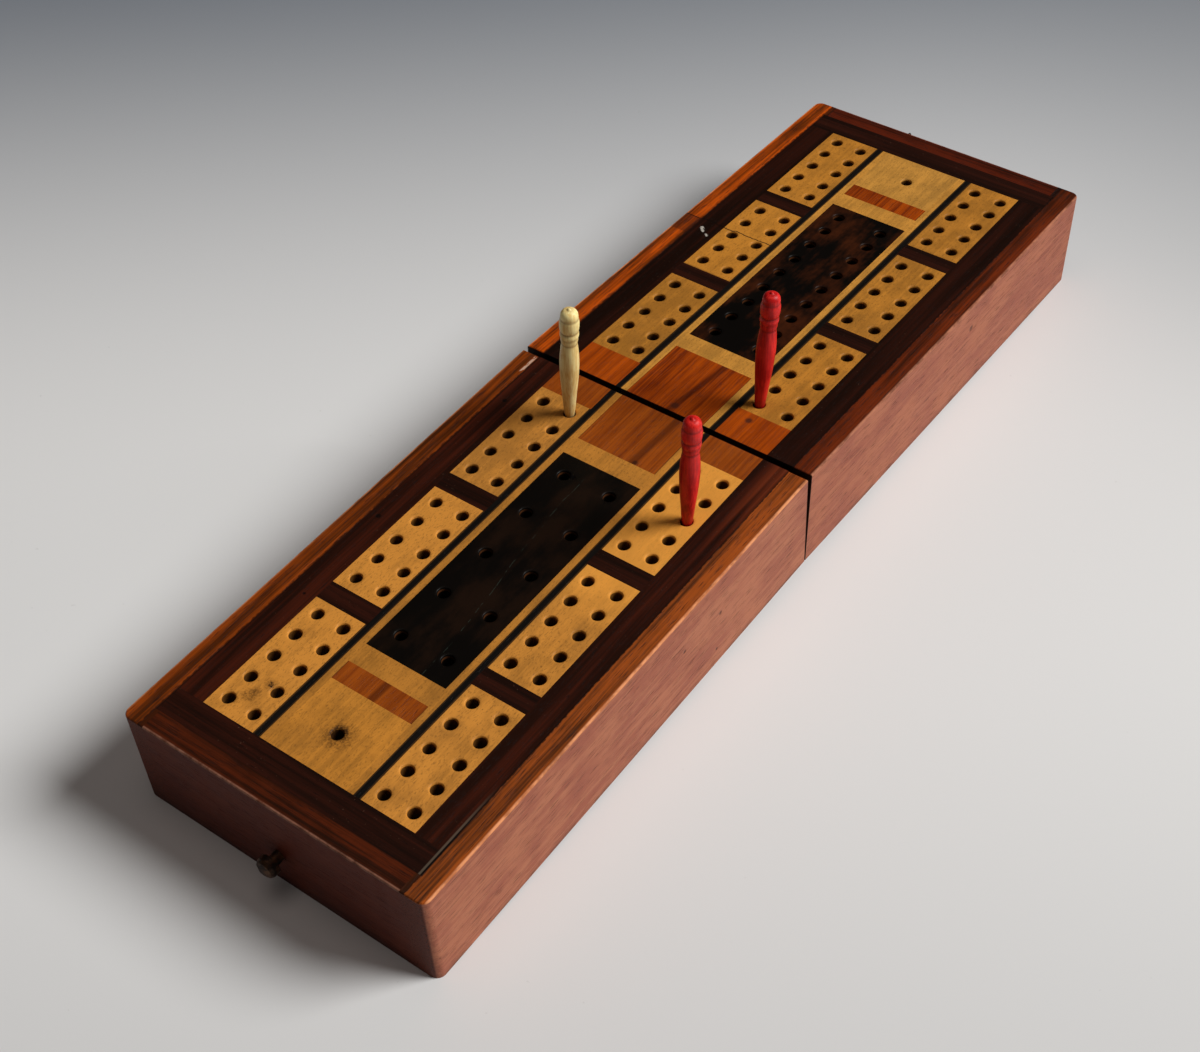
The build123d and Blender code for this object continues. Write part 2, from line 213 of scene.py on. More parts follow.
class Finish:
    """A material and the nodes that make it."""

    def __init__(self, name):
        self.material = bpy.data.materials.new(name)
        self.material.use_nodes = True
        self.tree = self.material.node_tree
        self.surface = self.tree.nodes["Principled BSDF"]

    def node(self, kind, settings=None, inputs=None, output=0):
        """A node of a kind: its settings first, then the values or links of its sockets."""
        made = self.tree.nodes.new(kind)
        for name, value in (settings or {}).items():
            setattr(made, name, value)
        for name, value in (inputs or {}).items():
            if isinstance(value, Value):
                self.tree.links.new(value.socket, made.inputs[name])
            else:
                made.inputs[name].default_value = value
        return Value(self, made.outputs[output])

    def maths(self, operation, *values):
        return self.node("ShaderNodeMath", {"operation": operation}, dict(enumerate(values)))

    def mix(self, factor, first, second):
        """Two colours mixed by a factor."""
        settings = {"data_type": "RGBA", "clamp_factor": True}
        return self.node("ShaderNodeMix", settings, {0: factor, 6: first, 7: second}, output=2)

    def fade(self, value, start, end):
        """0 at the start, 1 at the end, eased between."""
        return self.node(
            "ShaderNodeMapRange",
            {"interpolation_type": "SMOOTHSTEP"},
            {"Value": value, "From Min": start, "From Max": end},
        )

    def noise(self, place, size, detail=3.0, roughness=0.55, shift=0.0):
        """Cloudy noise whose clouds have the size given in millimetres."""
        scaled = self.node(
            "ShaderNodeVectorMath",
            {"operation": "MULTIPLY_ADD"},
            {0: place, 1: tuple(1 / s for s in size), 2: (shift, shift * 1.7, shift * 0.6)},
        )
        inputs = {"Vector": scaled, "Scale": 1.0, "Detail": detail, "Roughness": roughness}
        return self.node("ShaderNodeTexNoise", {}, inputs)

    def object_place(self):
        """Object coordinates in millimetres."""
        place = self.node("ShaderNodeTexCoord", output=3)
        return self.node("ShaderNodeVectorMath", {"operation": "SCALE"}, {0: place, "Scale": 1 / MM})

    def half_place(self, half):
        """Object coordinates as across, out and up of a half, in millimetres."""
        place = self.node("ShaderNodeTexCoord", output=3)
        back = (0, AXIS_HEIGHT * math.sin(SLOPE), -AXIS_HEIGHT * math.cos(SLOPE) - FOLD_GAP)
        inputs = {
            "Vector": place,
            "Location": back,
            "Rotation": (SLOPE, 0, 0),
            "Scale": (1 / MM, half.outward / MM, 1 / MM),
        }
        return self.node("ShaderNodeMapping", {}, inputs)

    def axes(self, place):
        """The three numbers of a place."""
        split = self.node("ShaderNodeSeparateXYZ", {}, {0: place}).socket.node
        return [Value(self, socket) for socket in split.outputs]

    def dirt_and_shade(self):
        """How much dirt and painted shade each point of the mesh holds, 0 to 1."""
        return self.node("ShaderNodeAttribute", {"attribute_name": "dirt_and_shade"}, output=2)

    def spot(self, across, out, centre, radius, soft):
        """1 within a radius of a place on the face, fading to 0."""
        distance = ((across - centre[0]) ** 2 + (out - centre[1]) ** 2) ** 0.5
        return self.fade(distance, radius + soft, radius)

    def between(self, value, low, high, soft):
        """1 between two limits, fading to 0 outside them."""
        return self.fade(value, low - soft, low) * self.fade(value, high + soft, high)

    def join_shade(self, colour, out):
        """Painted shade on the faces that meet at the join and along their edges, so the gap between
        the halves reads dark.
        """
        return self.mix(self.fade(out, 0.32, 0.12), colour, shade(11, 5, 3))

    def finish(self, colour, roughness, height=None, bump=0.1, sheen=0.5, metal=0.0):
        """Link colour, roughness and relief to the surface. Relief is in millimetres."""
        for name, value in (("Base Color", colour), ("Roughness", roughness)):
            if isinstance(value, Value):
                self.tree.links.new(value.socket, self.surface.inputs[name])
            else:
                self.surface.inputs[name].default_value = value
        if height is not None:
            inputs = {"Height": height, "Distance": bump * MM, "Strength": 1.0}
            relief = self.node("ShaderNodeBump", {}, inputs)
            self.tree.links.new(relief.socket, self.surface.inputs["Normal"])
        self.surface.inputs["Specular IOR Level"].default_value = sheen
        self.surface.inputs["Metallic"].default_value = metal
        return self.material


def lengthwise(run, short, long):
    """A grain's size: long along the run of the wood, short across it."""
    return (short, long, short) if run == "out" else (long, short, short)


def mahogany(name, half, run, top, wall, side, shift):
    """Polished mahogany rail: a face, a paler or darker wall, end grain, pores and worn arrises with a
    painted highlight along them; the end walls and end grain are darkened as painted shade.
    """
    f = Finish(name)
    place = f.half_place(half)
    across, out, up = f.axes(place)
    streak = f.noise(place, lengthwise(run, 0.5, 24), detail=4, shift=shift)
    band = f.noise(place, lengthwise(run, 1.7, 80), detail=2, shift=shift + 3)
    cloud = f.noise(place, (8, 13, 8), detail=3, roughness=0.6, shift=shift + 5)
    pores = f.fade(f.noise(place, lengthwise(run, 0.24, 4.2), detail=2, shift=shift), 0.55, 0.68)
    tone = f.fade(streak * 0.35 + band * 0.5 + cloud * 0.15, 0.38, 0.62)
    face = f.fade(up, FACE - 0.55, FACE - 0.15)
    face_colour = f.mix(tone, tinted(top, 0.62), tinted(top, 1.3))
    ruddy = f.fade(cloud * 0.4 + streak * 0.35 + band * 0.25, 0.42, 0.58)
    wall_colour = f.mix(ruddy, shade(wall[0] * 0.88, wall[1] * 0.8, wall[2] * 0.82), shade(*wall))
    colour = f.mix(face, wall_colour, face_colour)
    colour = f.mix(pores * 0.6, colour, f.mix(face, tinted(wall, 0.5), shade(30, 12, 6)))
    if run == "out":
        ends = f.fade(out, HALF_LENGTH - 0.5, HALF_LENGTH - 0.2) * (1 - face)
        dots = f.fade(f.noise(place, (0.35, 1, 0.35), detail=2, shift=shift), 0.5, 0.65)
        end_colour = f.mix(dots, shade(*SHADED_END_GRAIN), tinted(SHADED_END_GRAIN, 0.6))
        colour = f.mix(ends, colour, end_colour)
    rub = f.noise(place, (2.5, 6, 2.5), detail=4, roughness=0.65, shift=shift + 9)
    worn = f.fade(rub, 0.36, 0.6)
    # A lighter line along the outer top arris: wear in patches, and a painted highlight.
    far_edge = across * side if side else out
    edge = HALF_X if side else HALF_LENGTH
    arris = f.fade(far_edge, edge - 0.6, edge - 0.25) * f.fade(up, FACE - 0.6, FACE - 0.25)
    arris = arris * (worn * 0.65 + 0.35)
    colour = f.mix(arris * 0.95, colour, tinted(top, 1.2, 74))
    # Darker towards the bottom of each wall, in patches.
    bottom = f.fade(up, 1.6, 0.1) * worn
    colour = f.mix(bottom * 0.55, colour, tinted(wall, 0.5))
    if side:
        wobble = f.noise(place, (2, 1.1, 2), detail=3, shift=shift + 12)
        reach = 0.5 if side < 0 else 0.22
        ragged = across * side - (wobble - 0.5) * 0.9
        joint = f.fade(ragged, FIELD_X + reach + 0.1, FIELD_X + reach * 0.3)
        colour = f.mix(joint * 0.85 * face, colour, shade(16, 7, 4))
    if half is near and side > 0:
        open_joint = f.fade(across, FIELD_X + 0.55, FIELD_X + 0.2) * f.fade(out, 96, 114)
        open_joint = open_joint * f.fade(out, BORDER_END, BORDER_END - 0.4)
        colour = f.mix(open_joint * f.fade(up, FACE - 1.6, FACE - 0.9), colour, shade(8, 4, 3))
    if half is far and side < 0:
        colour = split_and_repair(f, colour, across, out, place)
    if half is near and side < 0:
        chip = f.between(across, -34.3, -33.75, 0.12) * f.between(out, 1.0, 6.3, 0.5)
        chip = chip * f.fade(f.noise(place, (0.6, 1.2, 1), shift=2), 0.4, 0.5)
        colour = f.mix(chip * 0.75, colour, shade(206, 172, 148))
    hollow = pores * 0.35
    if side > 0:
        for centre, radius in SIDE_DENTS[half.name]:
            dent = f.spot(out, up, centre, radius * 0.4, radius)
            colour = f.mix(dent * 0.7, colour, shade(60, 28, 20))
            hollow = hollow + dent
    colour = f.join_shade(colour, out)
    height = streak * 0.3 - hollow + rub * 0.5
    gloss = 0.4 + cloud * 0.2 + pores * 0.12
    return f.finish(colour, gloss, height, 0.1, sheen=0.12)


def split_and_repair(f, colour, across, out, place):
    """The old split across the far left corner of the face, with a darker let-in piece beside it."""
    insert = f.between(out, 57.6, 64.2, 0.15) * f.fade(across, -FIELD_X + 0.4, -FIELD_X - 0.1)
    colour = f.mix(insert * 0.5, colour, shade(44, 18, 10))
    wander = f.noise(place, (4, 40, 4), detail=4, shift=31)
    line = f.between(out - (wander - 0.5) * 2.2, 64.42, 64.62, 0.12) * f.fade(across, -12.8, -13.2)
    return f.mix(line * 0.9, colour, shade(14, 6, 3))


def rosewood(name, half, run, tint, shift):
    """Dark rosewood with blacker lines and a few redder streaks."""
    f = Finish(name)
    place = f.half_place(half)
    across, out = f.axes(place)[:2]
    streak = f.noise(place, lengthwise(run, 0.5, 30), detail=4, shift=shift)
    band = f.noise(place, lengthwise(run, 2.4, 75), detail=3, roughness=0.6, shift=shift + 4)
    pores = f.fade(f.noise(place, lengthwise(run, 0.2, 2.4), detail=2, shift=shift + 1), 0.6, 0.7)
    tone = f.fade(streak * 0.35 + band * 0.65, 0.4, 0.66)
    colour = f.mix(tone, tinted(tint, 0.68), tinted(tint, 1.4))
    colour = f.mix(pores * 0.6, colour, shade(13, 6, 4))
    dust = f.fade(f.noise(place, (0.5, 0.5, 0.5), detail=2, shift=shift + 8), 0.7, 0.78)
    colour = f.mix(dust * 0.4, colour, shade(112, 84, 66))
    joint = f.fade(abs(across), FIELD_X - 0.25, FIELD_X - 0.05)
    colour = f.mix(joint * 0.8, colour, shade(10, 5, 3))
    height = streak * 0.2 - pores * 0.3
    if half is far:
        colour = split_and_repair(f, colour, across, out, place)
        for centre, radius in (((-31.2, 61.2), 0.8), ((-30.5, 60.4), 0.5), ((-28.6, 59.3), 0.45)):
            ragged = f.noise(place, (0.7, 0.7, 1), detail=3, shift=radius)
            torn = ragged - 0.5
            chip = f.spot(across + torn * 3.2, out - torn * 2.6, centre, radius * 0.5, 0.25)
            colour = f.mix(chip * 0.8, colour, shade(196, 188, 176))
    else:
        for centre, radius in (((-31.0, 16.2), 0.55), ((-31.2, 59.0), 0.6), ((-29.5, 84.0), 0.35)):
            mark = f.spot(across, out, centre, radius * 0.6, radius * 0.7)
            colour = f.mix(mark * 0.85, colour, shade(8, 4, 3))
            height = height - mark * 0.8
        lifted = f.between(across, FIELD_X - 0.5, FIELD_X - 0.2, 0.15) * f.fade(out, 98, 112)
        colour = f.mix(lifted * 0.45, colour, shade(112, 100, 84))
        red = f.fade(across, 28.5, 31.5) * f.fade(out, 34, 4) * f.fade(band, 0.35, 0.6)
        colour = f.mix(red * 0.6, colour, shade(124, 52, 24))
    colour = f.join_shade(colour, out)
    gloss = 0.42 + band * 0.16
    return f.finish(colour, gloss, height, 0.06, sheen=0.1)


def maple(name, half, tint, shift, pieces=1.0, marks=()):
    """Pale close-grained maple, gone honey-brown, with fine flecks, stains, and dirt and painted shade
    down its holes.
    """
    f = Finish(name)
    place = f.half_place(half)
    across, out = f.axes(place)[:2]
    streak = f.noise(place, (0.7, 26, 0.7), detail=4, shift=shift)
    cloud = f.noise(place, (6, 8, 6), detail=4, roughness=0.6, shift=shift + 2)
    fleck = f.fade(f.noise(place, (0.26, 0.8, 0.26), detail=2, shift=shift + 6), 0.54, 0.68)
    panel = f.maths("FLOOR", (out - half.square) * (1 / PANEL_PITCH))
    panel = panel * 2.3 + f.maths("SIGN", across) * 5.1
    piece = f.node("ShaderNodeTexWhiteNoise", {"noise_dimensions": "1D"}, {"W": panel + shift})
    tone = f.fade(streak * 0.4 + cloud * 0.6 + (piece - 0.5) * 0.2 * pieces, 0.34, 0.66)
    colour = f.mix(tone, tinted(tint, 0.89), tinted(tint, 1.1))
    colour = f.mix(fleck * 0.5, colour, tinted(tint, 0.66))
    age = f.fade(f.noise(place, (14, 20, 14), detail=5, roughness=0.65, shift=shift + 11), 0.5, 0.7)
    colour = f.mix(age * 0.2, colour, tinted(tint, 0.66))
    speck = f.fade(f.noise(place, (0.5, 0.7, 0.5), detail=3, shift=shift + 15), 0.69, 0.78)
    colour = f.mix(speck * 0.6, colour, shade(58, 30, 11))
    height = streak * 0.2 - fleck * 0.12 - speck * 0.3
    for centre, radius, soft, strength in marks:
        ragged = f.noise(place, (1.2, 1.2, 1.2), detail=4, roughness=0.65, shift=centre[0])
        torn = ragged - 0.5
        stain = f.spot(across + torn * 2.2, out + torn * 1.8, centre, radius, soft)
        speckle = f.fade(f.noise(place, (0.5, 0.5, 0.5), detail=3, shift=centre[1]), 0.42, 0.58)
        colour = f.mix(stain * (speckle * 0.6 + 0.4) * strength, colour, shade(40, 20, 8))
    if half is near:
        bright = f.fade(across, 9, 14) * f.fade(out, 62, 45)
        colour = f.mix(bright * 0.45, colour, tinted(tint, 1.34))
    inlay = f.between(abs(across), 11.85, 13.6, 0.1)
    colour = f.mix(inlay * 0.92, colour, shade(13, 9, 7))
    if half is far:
        colour = split_and_repair(f, colour, across, out, place)
    # Dirt and painted shade down the holes, darkest deep inside them.
    dirt_and_shade = f.dirt_and_shade()
    ring = f.noise(place, (1.1, 1.1, 1.1), detail=3, shift=shift + 20)
    dirt_and_shade_level = f.fade(dirt_and_shade + (ring - 0.5) * 0.5 * f.fade(dirt_and_shade, 0, 0.3), 0.1, 1.0)
    colour = f.mix(dirt_and_shade_level * 0.9, colour, shade(40, 20, 7))
    colour = f.join_shade(colour, out)
    gloss = 0.42 + cloud * 0.18 + age * 0.08
    return f.finish(colour, gloss, height, 0.08, sheen=0.18)


def tulipwood(name, half, tint, dark, contrast, shift):
    """Tulipwood: fine orange and dark red lines along the box, gathered here and there in a band."""
    f = Finish(name)
    place = f.half_place(half)
    across, out = f.axes(place)[:2]
    stripe = f.noise(place, (1.3, 60, 1.3), detail=3, shift=shift)
    line = f.noise(place, (0.32, 14, 0.32), detail=4, roughness=0.6, shift=shift + 3)
    cloud = f.noise(place, (5, 11, 5), detail=3, shift=shift + 5)
    tone = f.fade(stripe * 0.4 + line * 0.42 + cloud * 0.18, 0.5 - contrast, 0.5 + contrast)
    colour = f.mix(tone, shade(*dark), shade(*tint))
    slant = across + out * (0.05 if half is near else -0.12)
    middle = f.between(slant, 4.4, 5.2, 1.1) if half is near else f.between(slant, 0.6, 1.3, 0.8)
    colour = f.mix(middle * 0.75, colour, tinted(dark, 0.75))
    pores = f.fade(f.noise(place, (0.2, 2.2, 0.2), detail=2, shift=shift + 7), 0.58, 0.7)
    colour = f.mix(pores * 0.4, colour, shade(62, 22, 8))
    height = line * 0.2 - pores * 0.3
    if half is far:
        squares = f.fade(abs(across), MIDDLE_X, MIDDLE_X + 0.3)
        colour = f.mix(squares * 0.2, colour, shade(204, 90, 3))
        mark = f.spot(across, out, (1.5, 2.2), 0.5, 0.9)
        knot = f.spot(across, out, (17.5, 7.3), 0.4, 0.8)
        colour = f.mix(mark * 0.6 + knot * 0.75, colour, shade(40, 24, 20))
    else:
        nick = f.spot(across, out, (4.6, 16.2), 0.3, 0.7)
        colour = f.mix(nick * 0.7, colour, shade(36, 18, 10))
    seams = f.between(abs(across), MIDDLE_X - 0.12, MIDDLE_X + 0.2, 0.08)
    colour = f.mix(seams * 0.6, colour, shade(44, 20, 10))
    colour = f.join_shade(colour, out)
    gloss = 0.4 + cloud * 0.18
    return f.finish(colour, gloss, height, 0.07, sheen=0.18)


def ebony(name, half, shift):
    """Near-black ebony, brown where it is rubbed, with the scratch across the near panel."""
    f = Finish(name)
    place = f.half_place(half)
    across, out = f.axes(place)[:2]
    streak = f.noise(place, (1.1, 34, 1.1), detail=4, roughness=0.6, shift=shift)
    cloud = f.noise(place, (8, 16, 8), detail=4, roughness=0.6, shift=shift + 2)
    brown = f.fade(streak * 0.15 + cloud * 0.85, 0.44, 0.66)
    warm = shade(27, 14, 6) if half is near else shade(62, 27, 8)
    colour = f.mix(brown, shade(8, 5, 3), warm)
    height = streak * 0.15
    if half is near:
        along = f.fade(out, 27, 87)
        wander = f.noise(place, (6, 9, 6), detail=4, shift=4)
        path = -1.5 + along * 5.5 + (wander - 0.5) * 1.4
        scratch = f.between(across - path, -0.04, 0.04, 0.1) * f.between(out, 26, 86, 2)
        scratch = scratch * f.fade(f.noise(place, (1.2, 1.8, 1), detail=3, shift=8), 0.44, 0.62)
        colour = f.mix(scratch * 0.35, colour, shade(58, 68, 58))
        height = height - scratch * 0.4
        dent = f.spot(across, out, (-3.9, 27.3), 0.45, 0.45)
        colour = f.mix(dent * 0.9, colour, shade(3, 2, 2))
        height = height - dent * 2
    dirt_and_shade = f.dirt_and_shade()
    rubbed = f.between(dirt_and_shade, 0.3, 0.85, 0.1)
    colour = f.mix(rubbed * 0.55, colour, shade(104, 62, 34))
    # Painted shade, near black, deep in the holes.
    colour = f.mix(f.fade(dirt_and_shade, 0.85, 0.98) * 0.8, colour, shade(5, 3, 2))
    gloss = 0.36 + cloud * 0.16
    return f.finish(colour, gloss, height, 0.06, sheen=0.12)


def plain_wood(name, half, dark, light, size, gloss, shift):
    """A simple straight-grained wood, for lines and hidden boards."""
    f = Finish(name)
    place = f.half_place(half)
    out = f.axes(place)[1]
    streak = f.noise(place, size, detail=4, shift=shift)
    pores = f.fade(f.noise(place, (0.3, 3, 0.3), detail=2, shift=shift + 2), 0.6, 0.72)
    colour = f.mix(f.fade(streak, 0.35, 0.65), shade(*dark), shade(*light))
    colour = f.mix(pores * 0.4, colour, tinted(dark, 0.5))
    colour = f.join_shade(colour, out)
    height = streak * 0.3 - pores * 0.3
    return f.finish(colour, gloss + streak * 0.15, height, 0.08, sheen=0.15)


def old_brass():
    """Brass gone brown, brighter where it rubs."""
    f = Finish("old brass")
    place = f.object_place()
    cloud = f.noise(place, (1.6, 1.6, 1.6), detail=5, roughness=0.65)
    tarnish = f.fade(cloud, 0.34, 0.62)
    colour = f.mix(tarnish, shade(96, 64, 38), shade(36, 23, 16))
    fine = f.noise(place, (0.3, 0.3, 0.3), detail=3)
    gloss = 0.34 + tarnish * 0.24
    return f.finish(colour, gloss, fine * 0.5 + cloud * 0.5, 0.05, metal=0.7)


def bone(name, pale, deep, groove, shift):
    """Turned bone: fine streaks along the peg, and dye, dirt and painted shade in its grooves and at
    its foot.
    """
    f = Finish(name)
    place = f.object_place()
    streak = f.noise(place, (0.35, 0.35, 9), detail=4, shift=shift)
    cloud = f.noise(place, (2.2, 2.2, 5), detail=3, shift=shift + 2)
    colour = f.mix(f.fade(streak * 0.5 + cloud * 0.5, 0.36, 0.62), shade(*deep), shade(*pale))
    dirt_and_shade = f.dirt_and_shade()
    # Dye and dirt in the grooves, with painted shade there and at the foot.
    colour = f.mix(dirt_and_shade * 0.75, colour, shade(*groove))
    turned = f.noise(place, (8, 8, 0.12), detail=2, shift=shift)
    gloss = 0.36 + cloud * 0.16
    return f.finish(colour, gloss, turned * 0.3 + streak * 0.3, 0.05, sheen=0.25)


# ---------------------------------------------------------------- pieces


def put(name, bm, place, materials, body, replaced, smooth_below=30):
    """Finish a piece: turn it to its place, give it its finish, and let it ride on its body."""
    bm.transform(place)
    bmesh.ops.recalc_face_normals(bm, faces=bm.faces)
    limit = math.radians(smooth_below)
    for face in bm.faces:
        face.smooth = True
    for edge in bm.edges:
        edge.smooth = edge.is_manifold and edge.calc_face_angle(0) < limit
    mesh = bpy.data.meshes.new(name)
    bm.to_mesh(mesh)
    bm.free()
    piece = bpy.data.objects.new(name, mesh)
    bpy.context.scene.collection.objects.link(piece)
    for material in materials:
        mesh.materials.append(material)
    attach(piece, body)
    if replaced:
        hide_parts(replaced)
    return piece


def ring_edges(made):
    """The edges and points of an extruded ring that are its new rim."""
    rim = {v for v in made["geom"] if isinstance(v, bmesh.types.BMVert)}
    edges = [e for e in made["geom"] if isinstance(e, bmesh.types.BMEdge)]
    return [e for e in edges if set(e.verts) <= rim], list(rim)


def drilled(plates):
    """Flat inlay pieces with worn holes. Each plate has an x pair, a y pair and its holes."""
    bm = bmesh.new()
    dirt_and_shade = bm.verts.layers.float.new("dirt_and_shade")
    for (x0, x1), (y0, y1), holes in plates:
        corners = [bm.verts.new((x, y, FACE)) for x, y in ((x0, y0), (x1, y0), (x1, y1), (x0, y1))]
        outline = [bm.edges.new((corners[i - 1], corners[i])) for i in range(4)]
        rings = []
        for x, y, radius, depth in holes:
            made = bmesh.ops.create_circle(
                bm,
                segments=HOLE_SIDES,
                radius=radius + GRIME_REACH,
                matrix=Matrix.Translation((x, y, FACE)),
            )
            rings.append(list({edge for vert in made["verts"] for edge in vert.link_edges}))
        filled = outline + [edge for ring in rings for edge in ring]
        bmesh.ops.triangle_fill(bm, edges=filled, use_beauty=True, normal=(0, 0, 1))
        for ring, (x, y, radius, depth) in zip(rings, holes):
            # Each step down the hole: its radius, its depth, and its dirt and painted shade.
            steps = (
                (radius + 0.28, 0.0, 0.0),
                (radius + 0.17, 0.06, 0.0),
                (radius + 0.01, 0.34, 0.0),
                (radius, 0.55, 0.8),
                (radius * 0.97, 1.3, 1.0),
                (radius * 0.94, depth * 0.9, 1.0),
                (0.15, depth, 1.0),
            )
            reach = radius + GRIME_REACH
            level = 0.0
            for new_reach, drop, dirt_and_shade_level in steps:
                ring, verts = ring_edges(bmesh.ops.extrude_edge_only(bm, edges=ring))
                scale = new_reach / reach
                centre = Matrix.Translation((-x, -y, 0))
                bmesh.ops.scale(bm, vec=(scale, scale, 1), space=centre, verts=verts)
                bmesh.ops.translate(bm, vec=(0, 0, level - drop), verts=verts)
                for vert in verts:
                    vert[dirt_and_shade] = dirt_and_shade_level
                reach, level = new_reach, drop
            bmesh.ops.contextual_create(bm, geom=ring)
        made, verts = ring_edges(bmesh.ops.extrude_edge_only(bm, edges=outline))
        bmesh.ops.translate(bm, vec=(0, 0, -INLAY), verts=verts)
        bmesh.ops.contextual_create(bm, geom=made)
    return bm


def by_hand(rng, x, y, radius=HOLE_RADIUS, depth=HOLE_DEPTH):
    """A hole as a hand drill leaves it, a little off its mark."""
    return (
        x + rng.uniform(-0.16, 0.16),
        y + rng.uniform(-0.18, 0.18),
        radius + rng.uniform(-0.05, 0.04),
        depth,
    )


def rows(start, end, inset, count):
    return [start + inset + i * (end - start - 2 * inset) / (count - 1) for i in range(count)]


def smoothed(node, body, material, arris=0.0):
    """A CAD piece with its facets smoothed and, where it says so, its sharp arrises eased."""
    bm = bmesh.new()
    bm.from_mesh(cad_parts[node].data)
    bmesh.ops.remove_doubles(bm, verts=bm.verts, dist=2e-6)
    bmesh.ops.dissolve_limit(bm, angle_limit=math.radians(0.6), verts=bm.verts, edges=bm.edges)
    if arris:
        sharp = [e for e in bm.edges if e.is_manifold and e.calc_face_angle(0) > math.radians(50)]
        bmesh.ops.bevel(
            bm,
            geom=sharp,
            offset=arris * MM,
            offset_type="OFFSET",
            segments=2,
            profile=0.5,
            affect="EDGES",
            material=-1,
            clamp_overlap=True,
        )
    return put(node + "_worn", bm, Matrix(), [material], body, node)


# Distance from the playing face up the peg, its radius there, and how much dirt and painted shade the
# place holds, in the grooves and at the foot.
PEG_PROFILE = (
    (-4.9, 0.85, 1.0),
    (-2.5, 1.0, 1.0),
    (-0.3, 1.1, 0.9),
    (0.3, 1.19, 0.45),
    (2.5, 1.36, 0.1),
    (5.9, 1.6, 0.0),
    (9.0, 1.86, 0.0),
    (12.2, 2.06, 0.0),
    (15.2, 2.17, 0.0),
    (18.0, 2.1, 0.0),
    (20.0, 1.93, 0.0),
    (21.3, 1.78, 0.1),
    (21.75, 1.74, 0.75),
    (22.05, 1.8, 0.25),
    (22.7, 1.9, 0.0),
    (23.2, 1.88, 0.35),
    (23.45, 1.92, 0.3),
    (23.9, 2.07, 0.0),
    (24.45, 2.07, 0.0),
    (24.85, 1.93, 0.5),
    (25.05, 1.88, 0.95),
    (25.3, 1.93, 0.5),
    (25.75, 2.1, 0.0),
    (26.6, 2.17, 0.0),
    (27.6, 2.17, 0.0),
    (28.3, 2.05, 0.1),
    (28.65, 1.93, 0.7),
    (28.9, 1.93, 0.4),
    (29.3, 1.95, 0.0),
    (29.9, 1.87, 0.0),
    (30.4, 1.62, 0.0),
    (30.75, 1.2, 0.0),
    (30.9, 0.75, 0.2),
    (30.93, 0.42, 0.5),
    (31.1, 0.34, 0.1),
    (31.24, 0.15, 0.0),
)


def turned_peg(name, half, foot, lean_right, lean_out, material):
    """A peg turned from its profile and stood leaning in its hole."""
    bm = bmesh.new()
    dirt_and_shade = bm.verts.layers.float.new("dirt_and_shade")
    line = []
    for height, radius, dirt_and_shade_level in PEG_PROFILE:
        vert = bm.verts.new((radius, 0, height))
        vert[dirt_and_shade] = dirt_and_shade_level
        line.append(vert)
    edges = [bm.edges.new(pair) for pair in zip(line, line[1:])]
    bmesh.ops.spin(
        bm,
        geom=line + edges,
        cent=(0, 0, 0),
        axis=(0, 0, 1),
        angle=2 * math.pi,
        steps=40,
        use_merge=True,
    )
    for height in (PEG_PROFILE[0][0], PEG_PROFILE[-1][0]):
        rim = [e for e in bm.edges if all(abs(v.co.z - height) < 1e-4 for v in e.verts)]
        bmesh.ops.contextual_create(bm, geom=rim)
    sin, cos = math.sin(SLOPE), math.cos(SLOPE)
    up = Vector((0, half.outward * sin, cos))
    out = Vector((0, half.outward * cos, -sin))
    right = Vector((1, 0, 0)) * math.tan(math.radians(lean_right))
    along = up + right + out * math.tan(math.radians(lean_out))
    turn = Vector((0, 0, 1)).rotation_difference(along.normalized()).to_matrix().to_4x4()
    mouth = half.place @ Vector((foot[0], foot[1], FACE))
    place = Matrix.Translation(mouth) @ Matrix.Scale(MM, 4) @ turn
    return put(name + "_turned", bm, place, [material], name, name, smooth_below=60)


def slotted_screws(half, material):
    """The countersunk screws of a half's hinges, each with its slot turned its own way."""
    rng = random.Random(half.outward + 5)
    bm = bmesh.new()
    for side in (-1, 1):
        for column in SCREW_COLUMNS:
            head = bmesh.new()
            bmesh.ops.create_circle(head, cap_ends=True, segments=32, radius=SCREW_HEAD_RADIUS)
            cone = ring_edges(bmesh.ops.extrude_edge_only(head, edges=head.edges))[1]
            bmesh.ops.scale(head, vec=(0.5, 0.5, 1), verts=cone)
            bmesh.ops.translate(head, vec=(0, 0, 0.9), verts=cone)
            for cut in (-SCREW_SLOT / 2, SCREW_SLOT / 2):
                flat = [f for f in head.faces if abs(f.normal.z) > 0.9]
                geom = head.verts[:] + head.edges[:] + flat
                bmesh.ops.bisect_plane(head, geom=geom, plane_co=(0, cut, 0), plane_no=(0, 1, 0))
            head.faces.ensure_lookup_table()
            middle = [
                f
                for f in head.faces
                if abs(f.calc_center_median().y) < SCREW_SLOT / 2 and abs(f.normal.z) > 0.9
            ]
            sunk = bmesh.ops.extrude_face_region(head, geom=middle)
            bmesh.ops.delete(head, geom=middle, context="FACES")
            low = [v for v in sunk["geom"] if isinstance(v, bmesh.types.BMVert)]
            bmesh.ops.translate(head, vec=(0, 0, SCREW_SLOT_DEPTH), verts=low)
            turn = Matrix.Rotation(rng.uniform(0, math.pi), 4, "Z")
            head.transform(Matrix.Translation((side * column, SCREW_OUT, 0)) @ turn)
            mesh = bpy.data.meshes.new("head")
            head.to_mesh(mesh)
            head.free()
            bm.from_mesh(mesh)
            bpy.data.meshes.remove(mesh)
    name, replaced = half.name + "_slotted_screws", half.name + "_hinge_screws"
    return put(name, bm, half.place, [material], half.body, replaced)


def dress(node, material):
    """Give a CAD piece its finish."""
    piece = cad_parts[node]
    piece.data.materials.clear()
    piece.data.materials.append(material)


# ---------------------------------------------------------------- the box

brass = old_brass()

